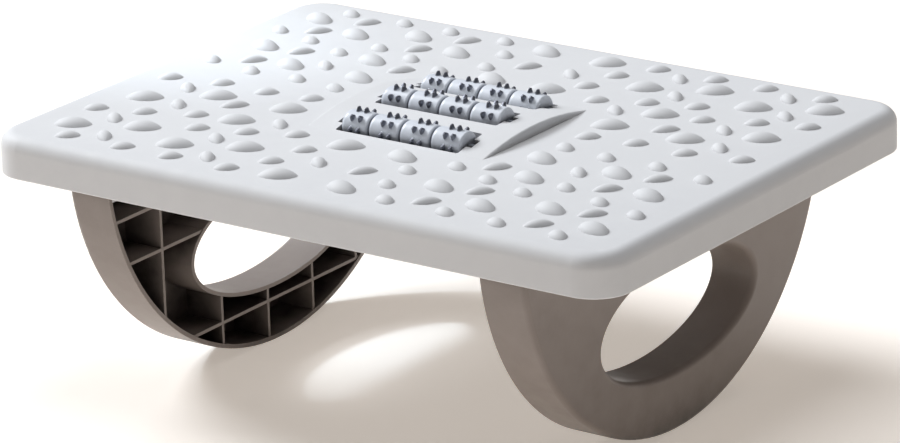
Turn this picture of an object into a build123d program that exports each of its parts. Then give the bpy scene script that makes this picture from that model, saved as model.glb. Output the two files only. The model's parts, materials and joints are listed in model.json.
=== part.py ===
from build123d import *
from math import sqrt
import os

# Rocking foot rest: a knobbly deck on two half-round rockers, with three massage rollers.
# Millimetres. X runs along the deck, Y from the front edge to the back edge, Z up from the floor.

# Deck moulding
DECK_LENGTH = 450.0
DECK_WIDTH = 330.0
DECK_BOTTOM = 140.0
DECK_TOP = 165.75
DECK_CORNER = 24.0
DECK_EDGE_ROUND = 9.0
LIP_ROUND = 1.0
SKIRT = 3.0
SKIN = 3.25

# Arch that carries the rollers, raised in the middle of the deck
ARCH_LENGTH = 129.0
ARCH_SPAN = 109.0
ARCH_RISE = 6.6
ARCH_END_ROUND = 1.2

# Bumps on the deck: length, width, height, and turn of the long side in the back right quarter
LARGE_BUMP = (24.0, 15.0, 4.5, 24.0)
SLIM_BUMP = (18.5, 9.5, 3.3, 132.0)
SMALL_BUMP = (16.0, 10.5, 3.2, 36.0)
LEANING_BUMP = (18.5, 9.5, 3.3, 48.0)
BUMP_ROOT = 0.6
BUMP_REPEAT = 78.0

# Rockers: half discs of one mould, closed outside and ribbed inside
ROCKER_RADIUS = 161.0
ROCKER_FLAT = 0.1
ROCKER_OUTER = 165.0
ROCKER_THICKNESS = 30.5
ROCKER_PLATE = 2.8
ROCKER_WALL = 2.6
ROCKER_TOP_ROUND = 7.0
ROCKER_EDGE_ROUND = 3.5
WINDOW_HALF_LENGTH = 82.0
WINDOW_HALF_HEIGHT = 35.0
WINDOW_CENTRE = 72.2
RIB = 2.0
RIB_RECESS = 0.7
UPRIGHT_RIBS = (111.0, 56.0, 10.0, -36.0, -82.0, -122.0)
LEVEL_RIBS = (26.5, 91.3, 120.5)

# Lugs of the deck that the rockers are screwed to
LUG_CENTRE = 149.5
LUG_WIDTH = 9.0
LUG_THICKNESS = 3.0
LUG_BOTTOM = 133.0
LUG_SET_BACK = 3.0
LUG_SCREW_HEIGHT = 138.0
FIT_GAP = 0.4

# Rollers
ROLLER_PITCH = 40.0
ROLLER_DEPTH = 2.45
ROLLER_TURNS = (0.0, 12.0, -7.0)
ROLLER_END = 43.8
RING_COUNT = 4
RING_PITCH = 22.7
RING_GAP = 0.2
FIRST_RING_CUT = 3.0
RING_RADIUS = 9.3
RING_FACE_RADIUS = 7.8
RING_TAPER = 3.2
RING_TAPER_RADIUS = 7.2
RING_SHOULDER = 1.5
RING_END_WALL = 1.8
NUB_ROWS = 8
NUB_SPACING = 5.7
NUB_SHIFT = 2.4
NUB_BASE = (1.75, 2.55)
NUB_TIP = (0.75, 1.15)
NUB_HEIGHT = 2.8
NUB_ROOT = 0.6
NUB_ROUND = 0.5
AXLE_FLATS = 7.0
AXLE_FLAT_GAP = 0.15
JOURNAL_RADIUS = 2.0
JOURNAL_REACH = 48.7
BEARING_RADIUS = 2.05

# Slots of the deck that the rollers stand out of
SLOT_LENGTH = 89.6
SLOT_WIDTH = 26.4
SLOT_CORNER = 1.5
NOTCH_LENGTH = 4.2
NOTCH_WIDTH = 9.4
COLLAR = 1.8
COLLAR_BOTTOM = 157.5

# Tray under the rollers
TRAY_LENGTH = 124.0
TRAY_WIDTH = 126.0
TRAY_BOTTOM = 150.0
TRAY_FLOOR = 2.5
TRAY_WALL = 2.2
TRAY_CORNER = 6.0
TRAY_TOP_GAP = 0.1
POST_THICKNESS = 3.2
POST_WIDTH = 8.4
POST_ABOVE_AXIS = 1.3
POST_MOUTH = 3.1
EAR_REACH = 14.0
EAR_WIDTH = 12.0
EAR_SCREW_OFFSET = 8.0
EAR_ROWS = (-45.0, 0.0, 45.0)

# Screws and the bosses that take them
SCREW_RADIUS = 1.95
SCREW_HOLE = 2.0
SCREW_CLEARANCE = 2.15
SCREW_HEAD_RADIUS = 3.6
SCREW_HEAD_HEIGHT = 2.4
SCREW_HEAD_ROUND = 1.0
SCREW_RECESS = 1.6
SCREW_RECESS_DEPTH = 1.3
TRAY_SCREW_LENGTH = 10.0
ROCKER_SCREW_LENGTH = 15.0
BOSS_RADIUS = 4.4

# Ribs under the deck
DECK_RIB = 2.0
DECK_RIB_BOTTOM = 150.0
CHANNEL_BOTTOM = 145.0
CROSS_RIBS = (68.0, 100.0, 132.0)
SHORT_CROSS_RIB = 23.0
OUTER_CROSS_RIB = 34.0
END_RIBS = (0.0, 43.0)
LONG_RIB = 86.0
OUTER_LONG_RIB = 195.0

# Worked out from the above
SKIN_UNDERSIDE = DECK_TOP - SKIN
ROCKER_INNER = ROCKER_OUTER - ROCKER_THICKNESS
ARCH_RADIUS = ((ARCH_SPAN / 2) ** 2 + ARCH_RISE**2) / (2 * ARCH_RISE)
ARCH_CENTRE = DECK_TOP + ARCH_RISE - ARCH_RADIUS
ROLLER_START = ROLLER_END - RING_COUNT * RING_PITCH + FIRST_RING_CUT
ROLLER_ROWS = (-ROLLER_PITCH, 0.0, ROLLER_PITCH)
ROLLER_NAMES = ("front", "middle", "back")
EAR_SCREW_X = TRAY_LENGTH / 2 + EAR_SCREW_OFFSET
SIDES = (-1, 1)
STANDING = (Align.CENTER, Align.CENTER, Align.MIN)


def block(low, high):
    """A box between two corners."""
    size = [b - a for a, b in zip(low, high)]
    middle = [(a + b) / 2 for a, b in zip(low, high)]
    return Pos(*middle) * Box(*size)


def across(sketch, low, high):
    """A Y-Z outline extruded along X from low to high."""
    return extrude(Plane.YZ.offset(low) * sketch, amount=high - low)


def rod_along_x(radius, low, high, y, z):
    return across(Pos(y, z) * Circle(radius), low, high)


def arch_height(y):
    """Height of the arch's top surface at y."""
    return ARCH_CENTRE + sqrt(ARCH_RADIUS**2 - y**2)


def roller_axis(y):
    """Height of a roller's axis below the arch's surface."""
    return arch_height(y) - ROLLER_DEPTH


# Bumps


def bump(length, width, height):
    """A rounded oval cap, made by turning an arc about an axis sunk in the deck."""
    turn_radius = ((width / 2) ** 2 + height**2) / (2 * height)
    depth = turn_radius - height
    half = length / 2
    outline = Polyline((-half, depth), (-half, 0), (half, 0), (half, depth))
    arc = ThreePointArc((half, depth), (0, turn_radius), (-half, depth))
    barrel = revolve(make_face(outline + arc), Axis.X)
    keep = block((-half, -width, depth - BUMP_ROOT), (half, width, turn_radius + 1))
    return Pos(0, 0, -depth) * (barrel & keep)


def bump_layout():
    """Bumps of the back right quarter as (kind, x, y)."""
    large, slim, small = LARGE_BUMP, SLIM_BUMP, SMALL_BUMP
    repeated = [
        (large, 111, 124),
        (large, 70.5, 108),
        (slim, 96, 103),
        (slim, 79.5, 133),
        (small, 57.5, 143),
        (small, 99.5, 143),
        (small, 88, 84),
        (small, 118.5, 92.5),
    ]
    beside_arch = [
        (large, 107, 69),
        (large, 184, 60.5),
        (slim, 79.5, 62),
        (slim, 157, 62),
        (small, 58.5, 73),
        (small, 135, 72.5),
        (large, 93, 36),
        (large, 146, 36.5),
        (slim, 172.5, 33),
        (LEANING_BUMP, 126, 46),
        (small, 195.5, 21),
        (small, 160, 14.5),
        (small, 125, 15.5),
        (small, 93.5, 12),
    ]
    behind_arch = [
        (large, 20.5, 75),
        (small, 37.5, 93.5),
        (slim, 16, 108),
        (small, 42, 120),
        (large, 23, 138.5),
    ]
    again = [(kind, x + BUMP_REPEAT, y) for kind, x, y in repeated]
    return repeated + again + beside_arch + behind_arch


def bumps():
    """Every bump: one quarter's layout mirrored to the other three."""
    placed = []
    for kind, x, y in bump_layout():
        *size, turn = kind
        cap = bump(*size)
        for side_x in SIDES:
            for side_y in SIDES:
                place = Pos(x * side_x, y * side_y, DECK_TOP) * Rot(Z=turn * side_x * side_y)
                placed.append(place * cap)
    return placed


# Deck


def rounded_slab(length, width, corner, low, high):
    return extrude(Plane.XY.offset(low) * RectangleRounded(length, width, corner), amount=high - low)


def arch_segment(radius, floor_height, length):
    """The part above floor_height of a long cylinder under the arch's surface."""
    section = Pos(0, ARCH_CENTRE) * Circle(radius)
    section &= Pos(0, floor_height + radius) * Rectangle(2 * radius, 2 * radius)
    return across(section, -length / 2, length / 2)


def deck_shell(stiffeners):
    """The deck's skin and skirt, with the stiffeners left standing in its hollow."""
    outer = rounded_slab(DECK_LENGTH, DECK_WIDTH, DECK_CORNER, DECK_BOTTOM, DECK_TOP)
    outer = fillet(outer.edges().group_by(Axis.Z)[-1], DECK_EDGE_ROUND)
    outer = fillet(outer.edges().group_by(Axis.Z)[0], LIP_ROUND)
    inside = rounded_slab(
        DECK_LENGTH - 2 * SKIRT,
        DECK_WIDTH - 2 * SKIRT,
        DECK_CORNER - SKIRT,
        DECK_BOTTOM,
        SKIN_UNDERSIDE,
    )
    inside = fillet(inside.edges().group_by(Axis.Z)[-1], DECK_EDGE_ROUND - SKIRT)
    arch = arch_segment(ARCH_RADIUS, DECK_TOP - SKIN / 2, ARCH_LENGTH)
    tops = arch.edges().filter_by(GeomType.CIRCLE)
    arch = fillet(tops, ARCH_END_ROUND)
    under_arch = arch_segment(ARCH_RADIUS - SKIN, SKIN_UNDERSIDE - 1, ARCH_LENGTH - 2 * SKIN)
    hollow = (inside + under_arch).cut(*stiffeners)
    return outer + arch - hollow


def slot_collars():
    """Solid blocks under the slots; cutting the slots leaves a wall round each."""
    outer = (SLOT_LENGTH + 2 * COLLAR, SLOT_WIDTH + 2 * COLLAR, SLOT_CORNER + COLLAR)
    collar = rounded_slab(*outer, COLLAR_BOTTOM, DECK_TOP + ARCH_RISE)
    return [Pos(0, y) * collar for y in ROLLER_ROWS]


def slot_cuts():
    """Slots with a notch at each end for the roller's journals."""
    low, high = TRAY_BOTTOM, DECK_TOP + 2 * ARCH_RISE
    cuts = []
    for y in ROLLER_ROWS:
        cuts.append(Pos(0, y) * rounded_slab(SLOT_LENGTH, SLOT_WIDTH, SLOT_CORNER, low, high))
        reach = SLOT_LENGTH / 2 + NOTCH_LENGTH
        half = NOTCH_WIDTH / 2
        cuts.append(block((-reach, y - half, low), (reach, y + half, high)))
    return cuts


def deck_ribs():
    """Stiffening ribs under the skin and the two channels that the rockers stand in."""
    top = SKIN_UNDERSIDE + ARCH_RISE
    half_rib = DECK_RIB / 2
    reach_y = DECK_WIDTH / 2
    reach_x = DECK_LENGTH / 2
    channel_inner = ROCKER_INNER - FIT_GAP
    channel_outer = ROCKER_OUTER + FIT_GAP
    ribs = []

    def along_x(y, low, high):
        ribs.append(block((low, y - half_rib, DECK_RIB_BOTTOM), (high, y + half_rib, top)))

    def along_y(x, low, high, bottom=DECK_RIB_BOTTOM):
        ribs.append(block((x - half_rib, low, bottom), (x + half_rib, high, top)))

    for side in SIDES:
        along_y(side * (channel_inner - half_rib), -reach_y, reach_y, CHANNEL_BOTTOM)
        along_y(side * (channel_outer + half_rib), -reach_y, reach_y, CHANNEL_BOTTOM)
        along_y(side * LONG_RIB, -reach_y, reach_y)
        along_y(side * OUTER_LONG_RIB, -reach_y, reach_y)
        outer = sorted((side * (channel_outer + half_rib), side * reach_x))
        inner = sorted((side * LONG_RIB, side * (channel_inner - half_rib)))
        along_x(0, *outer)
        for side_y in SIDES:
            along_x(side_y * OUTER_CROSS_RIB, *outer)
            along_x(side_y * SHORT_CROSS_RIB, *inner)
            for y in CROSS_RIBS:
                along_x(side_y * y, *outer)
    for side_y in SIDES:
        for y in CROSS_RIBS:
            along_x(side_y * y, half_rib - channel_inner, channel_inner - half_rib)
        span = sorted((side_y * CROSS_RIBS[0], side_y * reach_y))
        for x in END_RIBS:
            for side in SIDES[: 1 if x == 0 else 2]:
                along_y(side * x, *span)
    return ribs


def deck_lugs():
    lugs = []
    inner = ROCKER_INNER + LUG_SET_BACK
    for side in SIDES:
        for side_y in SIDES:
            x_ends = sorted((side * inner, side * (inner + LUG_THICKNESS)))
            y_ends = [side_y * LUG_CENTRE - LUG_WIDTH / 2, side_y * LUG_CENTRE + LUG_WIDTH / 2]
            top = SKIN_UNDERSIDE + SKIN / 2
            lug = block((x_ends[0], y_ends[0], LUG_BOTTOM), (x_ends[1], y_ends[1], top))
            y = side_y * LUG_CENTRE
            lug -= rod_along_x(SCREW_CLEARANCE, x_ends[0], x_ends[1], y, LUG_SCREW_HEIGHT)
            lugs.append(lug)
    return lugs


def upright_rods(radius, low, high):
    """A rod at each of the tray's screws."""
    rod = Cylinder(radius, high - low, align=STANDING)
    return [Pos(side * EAR_SCREW_X, y, low) * rod for side in SIDES for y in EAR_ROWS]


def tray_bosses():
    return upright_rods(BOSS_RADIUS, TRAY_BOTTOM + TRAY_FLOOR, DECK_TOP)


def tray_boss_holes():
    return upright_rods(SCREW_HOLE, TRAY_BOTTOM + TRAY_FLOOR, TRAY_BOTTOM + TRAY_SCREW_LENGTH)


def deck():
    body = deck_shell(deck_ribs() + tray_bosses() + slot_collars())
    body = body.fuse(*deck_lugs(), *bumps())
    return body.cut(*slot_cuts(), *tray_boss_holes())


# Rockers


def half_disc(radius, top, corner):
    """A disc about the rocker's centre, level at the top and at the floor, with rounded top corners."""
    outline = Pos(0, ROCKER_RADIUS) * Circle(radius)
    outline &= Pos(0, top / 2) * Rectangle(4 * radius, top)
    return fillet(outline.vertices().group_by(Axis.Y)[-1], corner)


def window(grow=0.0):
    oval = Ellipse(WINDOW_HALF_LENGTH + grow, WINDOW_HALF_HEIGHT + grow)
    return Pos(0, WINDOW_CENTRE) * oval


def rocker_ribs():
    sheets = []
    low, high = ROCKER_INNER + RIB_RECESS, ROCKER_OUTER - ROCKER_PLATE / 2
    for y in UPRIGHT_RIBS:
        sheets.append(block((low, y - RIB / 2, 0), (high, y + RIB / 2, SKIN_UNDERSIDE)))
    for z in LEVEL_RIBS:
        sheets.append(block((low, -ROCKER_RADIUS, z - RIB / 2), (high, ROCKER_RADIUS, z + RIB / 2)))
    return sheets


def rocker_right():
    """The right rocker, its hollow open towards the middle of the foot rest."""
    outline = half_disc(ROCKER_RADIUS + ROCKER_FLAT, SKIN_UNDERSIDE, ROCKER_TOP_ROUND) - window()
    body = across(outline, ROCKER_INNER, ROCKER_OUTER)
    body = fillet(body.edges().group_by(Axis.X)[-1], ROCKER_EDGE_ROUND)
    pocket = half_disc(
        ROCKER_RADIUS - ROCKER_WALL,
        SKIN_UNDERSIDE - ROCKER_WALL,
        ROCKER_TOP_ROUND - ROCKER_WALL,
    )
    pocket = across(pocket - window(ROCKER_WALL), ROCKER_INNER, ROCKER_OUTER - ROCKER_PLATE)
    lug_low = ROCKER_INNER + LUG_SET_BACK
    boss_low = lug_low + LUG_THICKNESS
    half = LUG_WIDTH / 2 + FIT_GAP
    bosses = []
    holes = []
    for side_y in SIDES:
        y = side_y * LUG_CENTRE
        bosses.append(rod_along_x(BOSS_RADIUS, boss_low, ROCKER_OUTER, y, LUG_SCREW_HEIGHT))
        end = boss_low + ROCKER_SCREW_LENGTH - LUG_THICKNESS
        holes.append(rod_along_x(SCREW_HOLE, boss_low, end, y, LUG_SCREW_HEIGHT))
        slot_low = (lug_low - FIT_GAP, y - half, SKIN_UNDERSIDE - 2 * ROCKER_WALL)
        holes.append(block(slot_low, (boss_low + FIT_GAP, y + half, SKIN_UNDERSIDE)))
    return (body - pocket.cut(*rocker_ribs(), *bosses)).cut(*holes)


# Rollers


def nub():
    """An oval nub on top of a ring, narrow along the axle."""
    base = Pos(0, 0, RING_RADIUS - NUB_ROOT) * Ellipse(*NUB_BASE)
    tip = Pos(0, 0, RING_RADIUS + NUB_HEIGHT) * Ellipse(*NUB_TIP)
    body = loft([base, tip])
    return fillet(body.edges().group_by(Axis.Z)[-1], NUB_ROUND)


def hexagon(flats):
    return RegularPolygon(flats / 2, 6, major_radius=False)


def ring_body(low, high):
    """A ring that tapers at its low end and has a short round shoulder at its high end."""
    taper = (low + RING_TAPER, RING_RADIUS)
    shoulder = (high - RING_SHOULDER, RING_RADIUS)
    low_face = (low, RING_TAPER_RADIUS)
    high_face = (high, RING_FACE_RADIUS)
    outline = Line(taper, shoulder)
    outline += TangentArc(taper, low_face, tangent=(-1, 0))
    outline += TangentArc(shoulder, high_face, tangent=(1, 0))
    outline += Polyline(low_face, (low, 0), (high, 0), high_face)
    return revolve(make_face(outline), Axis.X)


def ring(number):
    """One ring at its place along the axle; the first and last are closed at their outer ends."""
    first = number == 0
    last = number == RING_COUNT - 1
    high = ROLLER_END - (RING_COUNT - 1 - number) * RING_PITCH
    middle = high - RING_PITCH / 2
    low = high - RING_PITCH + (FIRST_RING_CUT if first else RING_GAP)
    nubs = []
    for row in range(NUB_ROWS):
        for side in SIDES:
            x = middle + NUB_SHIFT + side * NUB_SPACING / 2
            nubs.append(Rot(X=row * 360 / NUB_ROWS) * Pos(x, 0, 0) * nub())
    body = ring_body(low, high).fuse(*nubs)
    bore_low = low + (RING_END_WALL if first else 0)
    bore_high = high - (RING_END_WALL if last else 0)
    body -= across(hexagon(AXLE_FLATS + AXLE_FLAT_GAP), bore_low, bore_high)
    return body - across(Circle(BEARING_RADIUS), low, high)


def axle():
    """Hexagonal bar that carries the rings, with a round journal at each end."""
    bar = across(hexagon(AXLE_FLATS), ROLLER_START + RING_END_WALL, ROLLER_END - RING_END_WALL)
    return bar + across(Circle(JOURNAL_RADIUS), -JOURNAL_REACH, JOURNAL_REACH)


# Tray


def tray():
    top = SKIN_UNDERSIDE - TRAY_TOP_GAP
    floor_top = TRAY_BOTTOM + TRAY_FLOOR
    body = rounded_slab(TRAY_LENGTH, TRAY_WIDTH, TRAY_CORNER, TRAY_BOTTOM, top)
    inner = (TRAY_LENGTH - 2 * TRAY_WALL, TRAY_WIDTH - 2 * TRAY_WALL, TRAY_CORNER - TRAY_WALL)
    body -= rounded_slab(*inner, floor_top, top)
    added = []
    cuts = []
    for y in ROLLER_ROWS:
        axis = roller_axis(y)
        for side in SIDES:
            near = SLOT_LENGTH / 2 + (NOTCH_LENGTH - POST_THICKNESS) / 2
            ends = sorted((side * near, side * (near + POST_THICKNESS)))
            half = POST_WIDTH / 2
            head = axis + POST_ABOVE_AXIS
            added.append(block((ends[0], y - half, TRAY_BOTTOM), (ends[1], y + half, head)))
            cuts.append(rod_along_x(BEARING_RADIUS, ends[0], ends[1], y, axis))
            mouth = POST_MOUTH / 2
            cuts.append(block((ends[0], y - mouth, axis), (ends[1], y + mouth, head)))
    for side in SIDES:
        for y in EAR_ROWS:
            wall = TRAY_LENGTH / 2 - TRAY_WALL / 2
            ends = sorted((side * wall, side * (TRAY_LENGTH / 2 + EAR_REACH)))
            half = EAR_WIDTH / 2
            added.append(block((ends[0], y - half, TRAY_BOTTOM), (ends[1], y + half, floor_top)))
    cuts += upright_rods(SCREW_CLEARANCE, TRAY_BOTTOM, floor_top)
    return body.fuse(*added).cut(*cuts)


# Screws


def screw(length):
    """Pan-head screw pointing up +Z, the underside of its head at z = 0."""
    head = Pos(0, 0, -SCREW_HEAD_HEIGHT) * Cylinder(SCREW_HEAD_RADIUS, SCREW_HEAD_HEIGHT, align=STANDING)
    head = fillet(head.edges().group_by(Axis.Z)[0], SCREW_HEAD_ROUND)
    for turn in (0, 90):
        cross = Box(2 * SCREW_RECESS, SCREW_RECESS / 2, 2 * SCREW_RECESS_DEPTH)
        head -= Pos(0, 0, -SCREW_HEAD_HEIGHT) * Rot(Z=turn) * cross
    return head + Cylinder(SCREW_RADIUS, length, align=STANDING)


def tray_screws():
    made = screw(TRAY_SCREW_LENGTH)
    return [Pos(side * EAR_SCREW_X, y, TRAY_BOTTOM) * made for side in SIDES for y in EAR_ROWS]


def rocker_screws():
    made = screw(ROCKER_SCREW_LENGTH)
    placed = []
    for side in SIDES:
        for side_y in SIDES:
            spot = (side * (ROCKER_INNER + LUG_SET_BACK), side_y * LUG_CENTRE, LUG_SCREW_HEIGHT)
            placed.append(Pos(*spot) * Rot(Y=90 * side) * made)
    return placed


os.makedirs("parts", exist_ok=True)


def save(name, shape):
    export_step(shape, f"parts/{name}.step")


save("deck", deck())
right = rocker_right()
save("rocker_right", right)
save("rocker_left", Rot(Z=180) * right)
save("roller_tray", tray())
save("tray_screws", Compound(children=tray_screws()))
save("rocker_screws", Compound(children=rocker_screws()))

rings = [ring(number) for number in range(RING_COUNT)]
bar = axle()
for roller, row, turn in zip(ROLLER_NAMES, ROLLER_ROWS, ROLLER_TURNS):
    home = Pos(0, row, roller_axis(row)) * Rot(X=turn)
    save(f"{roller}_roller_axle", home * bar)
    for number, made in enumerate(rings, start=1):
        save(f"{roller}_roller_ring_{number}", home * made)
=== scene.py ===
import json
import math

import bpy
from mathutils import Euler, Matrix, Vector

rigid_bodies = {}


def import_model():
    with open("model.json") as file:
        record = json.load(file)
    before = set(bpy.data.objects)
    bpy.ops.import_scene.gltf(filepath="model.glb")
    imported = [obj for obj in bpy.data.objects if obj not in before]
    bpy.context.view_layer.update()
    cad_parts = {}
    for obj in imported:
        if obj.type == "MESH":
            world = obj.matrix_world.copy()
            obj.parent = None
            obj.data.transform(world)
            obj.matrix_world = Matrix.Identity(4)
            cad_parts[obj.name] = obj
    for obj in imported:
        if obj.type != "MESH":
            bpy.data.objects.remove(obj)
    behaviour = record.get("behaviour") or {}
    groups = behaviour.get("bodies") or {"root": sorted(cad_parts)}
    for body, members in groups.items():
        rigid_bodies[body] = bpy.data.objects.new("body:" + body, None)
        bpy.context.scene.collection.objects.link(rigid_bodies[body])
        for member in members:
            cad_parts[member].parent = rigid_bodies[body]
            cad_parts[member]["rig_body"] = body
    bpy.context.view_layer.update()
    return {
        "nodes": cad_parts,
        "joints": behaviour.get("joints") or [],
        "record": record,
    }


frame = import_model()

# A rocking foot rest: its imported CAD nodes, finished in moulded plastics, on a pale studio floor.
# Metres, in the CAD's frame: X along the deck, Y from front to back, Z up from the floor.

MM = 0.001


def colour(*rgb):
    return (*rgb, 1.0)


# Camera
CAMERA_PLACE = Vector((1.7212, -2.3697, 1.1167))
CAMERA_AZIMUTH = math.radians(36.004)
CAMERA_ELEVATION = math.radians(19.146)
CAMERA_ROLL = math.radians(-1.782)
CAMERA_LENS = 205.03
SENSOR_WIDTH = 36.0
CAMERA_REACH = 100.0

# Broad lights: the place, size, power and colour of each, and all of them face the deck
DECK_CENTRE = Vector((0.0, 0.0, 0.14))
BROAD_LIGHTS = {
    "key_left": (Vector((-3.0, 0.0, 2.6)), 1.7, 134.0, (0.94, 0.97, 1.0)),
    "front": (Vector((0.3, -2.4, 0.8)), 1.6, 0.3, (1.0, 0.75, 0.55)),
    "top": (Vector((-0.1, 0.2, 2.4)), 1.6, 23.0, (0.97, 0.98, 1.0)),
}

# A narrow light aimed at the left rocker's window from over the deck's left edge, which it also lights
WINDOW_LIGHT_PLACE = Vector((-1.43, 0.04, 1.0))
WINDOW_LIGHT_TARGET = Vector((-0.15, 0.04, 0.045))
WINDOW_LIGHT_POWER = 230.0
WINDOW_LIGHT_ANGLE = math.radians(4.6)
WINDOW_LIGHT_BLEND = 0.5
WINDOW_LIGHT_RADIUS = 0.1
WINDOW_LIGHT_COLOUR = (0.76, 0.89, 1.0)

# Light from all around
WORLD_COLOUR = colour(1.0, 0.97, 0.94)
WORLD_STRENGTH = 0.06

# Floor, which glows a little so that it comes out pale
FLOOR_SIZE = 30.0
FLOOR_COLOUR = colour(0.90, 0.86, 0.82)
FLOOR_ROUGHNESS = 0.8
FLOOR_GLOW_COLOUR = colour(1.0, 0.90, 0.80)
FLOOR_GLOW = 0.38

# Every moulded plastic: sizes of its cloudy colour, blotches, scuffs and ripple
CLOUD_SIZE = 110 * MM
BLOTCH_SIZE = 14 * MM
SCUFF_SIZE = 3 * MM
RIPPLE_SIZE = 9 * MM
RIPPLE_DEPTH = 0.05 * MM
EDGE_WIDTH = 1.6 * MM
PLASTIC_IOR = 1.46

# Openness where dust and painted shade begin and are full, and where rubbing of an outer edge begins and
# is full
DUST_AND_SHADE_RANGE = (0.95, 0.35)
EDGE_RANGE = (0.85, 0.45)
SCUFF_RANGE = (0.42, 0.62)
SCUFF_ROUGHNESS = 0.15

# Each moulded plastic: its colours where clean, varied, dusty and shaded (dust plus painted shade) and
# worn, its roughness, the size and depth of its grain, how much its edges wear, and how far out of a
# corner its dust and painted shade reach
PLASTICS = {
    "deck_plastic": {
        "clean": colour(0.80, 0.805, 0.82),
        "varied": colour(0.76, 0.765, 0.785),
        "dusty_and_shaded": colour(0.50, 0.49, 0.49),
        "worn": colour(0.88, 0.88, 0.88),
        "roughness": 0.62,
        "grain": 0.7 * MM,
        "grain_depth": 0.03 * MM,
        "wear": 0.5,
        "dust_and_shade_reach": 6 * MM,
    },
    "rocker_plastic": {
        "clean": colour(0.295, 0.250, 0.226),
        "varied": colour(0.258, 0.218, 0.196),
        # Near black and reaching 26 mm out of a corner, this paints shade into the rocker's pocket under
        # the deck.
        "dusty_and_shaded": colour(0.035, 0.028, 0.025),
        "worn": colour(0.40, 0.35, 0.31),
        "roughness": 0.40,
        "grain": 0.6 * MM,
        "grain_depth": 0.03 * MM,
        "wear": 0.6,
        "dust_and_shade_reach": 26 * MM,
    },
    "axle_plastic": {
        "clean": colour(0.20, 0.22, 0.25),
        "varied": colour(0.16, 0.18, 0.20),
        "dusty_and_shaded": colour(0.05, 0.05, 0.06),
        "worn": colour(0.34, 0.36, 0.39),
        "roughness": 0.35,
        "grain": 0.5 * MM,
        "grain_depth": 0.01 * MM,
        "wear": 0.5,
        "dust_and_shade_reach": 3 * MM,
    },
    # The tray is near black: partly its own dark plastic, partly painted shade for the dark seen down the
    # roller slots.
    "tray_plastic": {
        "clean": colour(0.060, 0.060, 0.066),
        "varied": colour(0.045, 0.045, 0.050),
        "dusty_and_shaded": colour(0.02, 0.02, 0.02),
        "worn": colour(0.12, 0.12, 0.13),
        "roughness": 0.5,
        "grain": 0.6 * MM,
        "grain_depth": 0.03 * MM,
        "wear": 0.5,
        "dust_and_shade_reach": 6 * MM,
    },
}

# The rollers' rings are a pale blue grey. Their nubs are painted darker, as painted shade, and made
# shinier from NUB_START outwards, which is where that colour begins and where it is full, by distance
# from the roller's axis.
ROLLER_PLASTIC = {
    "clean": colour(0.84, 0.88, 0.95),
    "varied": colour(0.68, 0.72, 0.81),
    "dusty_and_shaded": colour(0.26, 0.28, 0.34),
    "worn": colour(0.86, 0.89, 0.95),
    "roughness": 0.30,
    "grain": 0.5 * MM,
    "grain_depth": 0.02 * MM,
    "wear": 0.7,
    "dust_and_shade_reach": 3.5 * MM,
}
NUB_START = (9.35 * MM, 9.9 * MM)
NUB_SHADE_COLOUR = colour(0.20, 0.21, 0.25)
NUB_METAL = 0.6

# Zinc-plated screws
ZINC_DARK = colour(0.42, 0.43, 0.44)
ZINC_PALE = colour(0.62, 0.62, 0.60)
ZINC_CLOUD_SIZE = 2 * MM
TURNING_MARK_SIZE = 0.25 * MM
TURNING_MARK_DEPTH = 0.02 * MM

# Sockets of a colour mix
MIX_FACTOR = 0
MIX_FIRST = 6
MIX_SECOND = 7
MIX_RESULT = 2


# Nodes of a material


def add(tree, kind, inputs=None, **settings):
    """A new node; an input is a plain value or another node's output."""
    node = tree.nodes.new(kind)
    for name, value in settings.items():
        setattr(node, name, value)
    for name, value in (inputs or {}).items():
        if isinstance(value, bpy.types.NodeSocket):
            tree.links.new(value, node.inputs[name])
        else:
            node.inputs[name].default_value = value
    return node


def noise(tree, coords, size, detail=2.0, roughness=0.5):
    """Noise with features about size metres across, from 0 to 1."""
    inputs = {"Vector": coords, "Scale": 1.0 / size, "Detail": detail, "Roughness": roughness}
    return add(tree, "ShaderNodeTexNoise", inputs).outputs["Fac"]


def remap(tree, value, low, high, to_low=0.0, to_high=1.0):
    """A value's range from low to high stretched to another range."""
    inputs = {
        "Value": value,
        "From Min": low,
        "From Max": high,
        "To Min": to_low,
        "To Max": to_high,
    }
    return add(tree, "ShaderNodeMapRange", inputs).outputs["Result"]


def maths(tree, operation, first, second):
    """Sum or product of two values, kept from 0 to 1."""
    inputs = {0: first, 1: second}
    return add(tree, "ShaderNodeMath", inputs, operation=operation, use_clamp=True).outputs["Value"]


def blend_colour(tree, factor, first, second):
    inputs = {MIX_FACTOR: factor, MIX_FIRST: first, MIX_SECOND: second}
    return add(tree, "ShaderNodeMix", inputs, data_type="RGBA").outputs[MIX_RESULT]


def raised(tree, height, distance, under=None):
    """Normals of a relief distance metres deep."""
    inputs = {"Height": height, "Distance": distance, "Strength": 1.0}
    if under is not None:
        inputs["Normal"] = under
    return add(tree, "ShaderNodeBump", inputs).outputs["Normal"]


def occlusion(tree, reach, inside=False):
    """1 in the open, less near a corner; inside finds outer edges and otherwise inner ones."""
    node = add(tree, "ShaderNodeAmbientOcclusion", {"Distance": reach}, inside=inside, samples=8)
    return node.outputs["AO"]


def distance_from_axis(tree, coords, joint):
    """Distance of a surface from a joint's axis along X."""
    kind = "ShaderNodeVectorMath"
    offset = add(tree, kind, {0: coords, 1: joint["pos_m"]}, operation="SUBTRACT").outputs["Vector"]
    across = add(tree, kind, {0: offset, 1: (0.0, 1.0, 1.0)}, operation="MULTIPLY").outputs["Vector"]
    return add(tree, kind, {0: across}, operation="LENGTH").outputs["Value"]


# Materials


def new_material(name):
    """An empty material, its node tree and the object's own coordinates."""
    material = bpy.data.materials.new(name)
    material.use_nodes = True
    tree = material.node_tree
    tree.nodes.clear()
    return material, tree, add(tree, "ShaderNodeTexCoord").outputs["Object"]


def end_in_surface(tree, inputs):
    shader = add(tree, "ShaderNodeBsdfPrincipled", inputs)
    add(tree, "ShaderNodeOutputMaterial", {"Surface": shader.outputs["BSDF"]})


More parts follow.
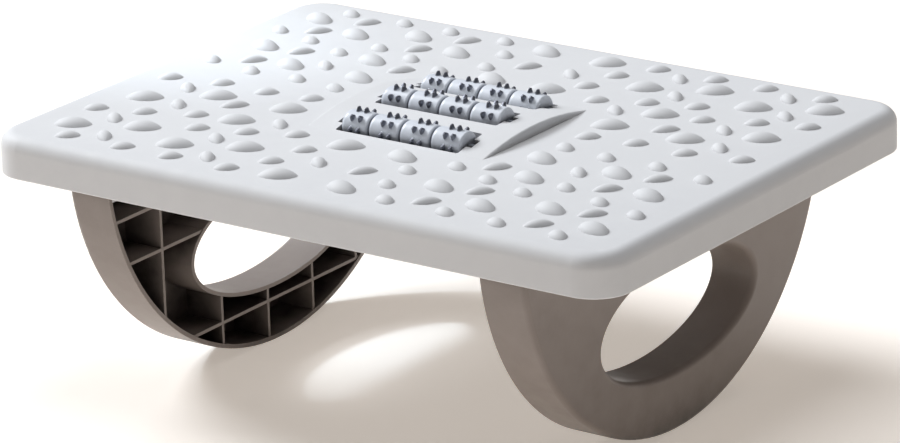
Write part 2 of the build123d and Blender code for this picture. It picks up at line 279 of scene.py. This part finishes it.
def moulded_plastic(name, look, nubs=None):
    """Moulded plastic: uneven colour, grain, dust and painted shade darkening its corners, and rubbed
    outer edges.

    nubs is the roller's joint, for a roller whose nubs are painted darker than its rings, as painted
    shade, and shinier.
    """
    material, tree, coords = new_material(name)

    clouds = noise(tree, coords, CLOUD_SIZE, detail=3.0)
    blotches = noise(tree, coords, BLOTCH_SIZE, detail=4.0, roughness=0.6)
    unevenness = maths(tree, "MULTIPLY", remap(tree, clouds, 0.3, 0.7), remap(tree, blotches, 0.25, 0.75))
    shade = blend_colour(tree, unevenness, look["clean"], look["varied"])

    # Corners darken by occlusion: partly dust, partly painted shade where shade falls.
    corner = remap(tree, occlusion(tree, look["dust_and_shade_reach"]), *DUST_AND_SHADE_RANGE)
    dust_and_shade = maths(tree, "MULTIPLY", corner, remap(tree, blotches, 0.2, 0.7, 0.6, 1.0))
    shade = blend_colour(tree, dust_and_shade, shade, look["dusty_and_shaded"])

    scuffs = remap(tree, noise(tree, coords, SCUFF_SIZE, detail=5.0, roughness=0.7), *SCUFF_RANGE)
    edge = remap(tree, occlusion(tree, EDGE_WIDTH, inside=True), *EDGE_RANGE)
    rubbed = maths(tree, "MULTIPLY", maths(tree, "MULTIPLY", edge, scuffs), look["wear"])
    shade = blend_colour(tree, rubbed, shade, look["worn"])

    gloss = remap(tree, blotches, 0.2, 0.8, look["roughness"] - 0.05, look["roughness"] + 0.06)
    gloss = maths(tree, "ADD", gloss, maths(tree, "MULTIPLY", rubbed, SCUFF_ROUGHNESS))

    ripple = raised(tree, noise(tree, coords, RIPPLE_SIZE, detail=1.0), RIPPLE_DEPTH)
    grain = raised(tree, noise(tree, coords, look["grain"]), look["grain_depth"], under=ripple)

    inputs = {"Base Color": shade, "Roughness": gloss, "Normal": grain, "IOR": PLASTIC_IOR}
    if nubs is not None:
        # The nubs' darker colour is painted shade; their sheen comes from the metal setting.
        on_nub = remap(tree, distance_from_axis(tree, coords, nubs), *NUB_START)
        inputs["Base Color"] = blend_colour(tree, on_nub, shade, NUB_SHADE_COLOUR)
        inputs["Metallic"] = maths(tree, "MULTIPLY", on_nub, NUB_METAL)
    end_in_surface(tree, inputs)
    return material


def zinc_steel():
    """Zinc-plated screw steel with fine turning marks."""
    material, tree, coords = new_material("zinc_steel")
    clouds = noise(tree, coords, ZINC_CLOUD_SIZE, detail=4.0)
    shade = blend_colour(tree, clouds, ZINC_DARK, ZINC_PALE)
    gloss = remap(tree, clouds, 0.2, 0.8, 0.28, 0.45)
    marks = raised(tree, noise(tree, coords, TURNING_MARK_SIZE, detail=3.0), TURNING_MARK_DEPTH)
    end_in_surface(tree, {"Base Color": shade, "Metallic": 1.0, "Roughness": gloss, "Normal": marks})
    return material


def finish_nodes():
    """Gives every CAD node its slot's material; a roller's rings get their own roller's."""
    materials = {name: moulded_plastic(name, look) for name, look in PLASTICS.items()}
    materials["screw_steel"] = zinc_steel()
    rollers = {
        joint["child"]: moulded_plastic("roller_plastic_" + joint["child"], ROLLER_PLASTIC, nubs=joint)
        for joint in frame["joints"]
    }
    for part in frame["record"]["subparts"]:
        node = frame["nodes"][part["node"]]
        node.data.materials.clear()
        if part["material_slot"] == "roller_plastic":
            node.data.materials.append(rollers[node["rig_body"]])
        else:
            node.data.materials.append(materials[part["material_slot"]])


# Studio


def make_floor():
    bpy.ops.mesh.primitive_plane_add(size=FLOOR_SIZE)
    floor = bpy.context.object
    floor.name = "studio_floor"
    material = bpy.data.materials.new("studio_floor")
    material.use_nodes = True
    shader = material.node_tree.nodes["Principled BSDF"]
    shader.inputs["Base Color"].default_value = FLOOR_COLOUR
    shader.inputs["Roughness"].default_value = FLOOR_ROUGHNESS
    shader.inputs["Emission Color"].default_value = FLOOR_GLOW_COLOUR
    shader.inputs["Emission Strength"].default_value = FLOOR_GLOW
    floor.data.materials.append(material)


def place_light(data, place, target):
    """Puts a light at its place, facing its target."""
    light = bpy.data.objects.new(data.name, data)
    light.location = place
    light.rotation_euler = (target - place).to_track_quat("-Z", "Y").to_euler()
    bpy.context.scene.collection.objects.link(light)


def make_lights():
    for name, (place, size, power, tint) in BROAD_LIGHTS.items():
        broad = bpy.data.lights.new(name, "AREA")
        broad.shape = "DISK"
        broad.size = size
        broad.energy = power
        broad.color = tint
        place_light(broad, place, DECK_CENTRE)
    narrow = bpy.data.lights.new("left_window", "SPOT")
    narrow.energy = WINDOW_LIGHT_POWER
    narrow.spot_size = WINDOW_LIGHT_ANGLE
    narrow.spot_blend = WINDOW_LIGHT_BLEND
    narrow.shadow_soft_size = WINDOW_LIGHT_RADIUS
    narrow.color = WINDOW_LIGHT_COLOUR
    place_light(narrow, WINDOW_LIGHT_PLACE, WINDOW_LIGHT_TARGET)


def make_world():
    world = bpy.data.worlds.new("studio_world")
    world.use_nodes = True
    background = world.node_tree.nodes["Background"]
    background.inputs["Color"].default_value = WORLD_COLOUR
    background.inputs["Strength"].default_value = WORLD_STRENGTH
    bpy.context.scene.world = world


def make_camera():
    data = bpy.data.cameras.new("camera")
    data.lens = CAMERA_LENS
    data.sensor_width = SENSOR_WIDTH
    data.clip_end = CAMERA_REACH
    camera = bpy.data.objects.new("camera", data)
    camera.location = CAMERA_PLACE
    turn = Euler((math.pi / 2 - CAMERA_ELEVATION, 0.0, CAMERA_AZIMUTH)).to_matrix()
    roll = Euler((0.0, 0.0, CAMERA_ROLL)).to_matrix()
    camera.rotation_euler = (turn @ roll).to_euler()
    bpy.context.scene.collection.objects.link(camera)
    bpy.context.scene.camera = camera


make_camera()
finish_nodes()
make_floor()
make_lights()
make_world()
bpy.context.scene.view_settings.view_transform = "Standard"
